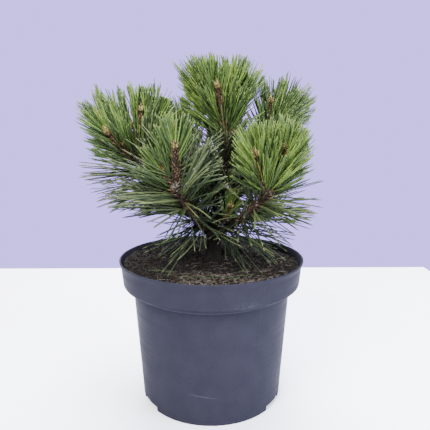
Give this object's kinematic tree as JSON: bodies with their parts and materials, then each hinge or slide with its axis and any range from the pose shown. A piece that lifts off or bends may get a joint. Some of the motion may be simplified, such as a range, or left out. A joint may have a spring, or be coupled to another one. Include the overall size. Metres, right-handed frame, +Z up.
{
  "type": "potted dwarf pine",
  "caption": "Bushy dwarf pine with a short trunk, upturned boughs and brush-like needle shoots, growing in a plain round nursery pot with a wide collar.",
  "frame": {"origin": "centre of the pot's flat underside, on the plane that it stands on", "axes": "+Z up along the pot's axis, -Y towards the plant's front, +X to the right of the front view"},
  "size_m": [0.2475, 0.2321, 0.3534],
  "materials": {
    "pot_plastic": "satin dark blue-grey moulded plastic",
    "potting_soil": "dark crumbly peat with fibres",
    "bark": "grey-brown scaly bark",
    "pine_needles": "satin green pine needles"
  },
  "bodies": {
    "root": {"pot": "pot_plastic", "soil": "potting_soil", "trunk": "bark", "bough_front_left": "bark", "bough_left": "bark", "bough_front_right": "bark", "bough_right_back": "bark", "bough_left_back": "bark", "bough_rear_left": "bark", "bough_rear_right": "bark", "needles_front_left": "pine_needles", "needles_left": "pine_needles", "needles_front_right": "pine_needles", "needles_right_back": "pine_needles", "needles_left_back": "pine_needles", "needles_rear_left": "pine_needles", "needles_rear_right": "pine_needles", "needles_top": "pine_needles", "needles_low": "pine_needles"}
  },
  "joints": []
}
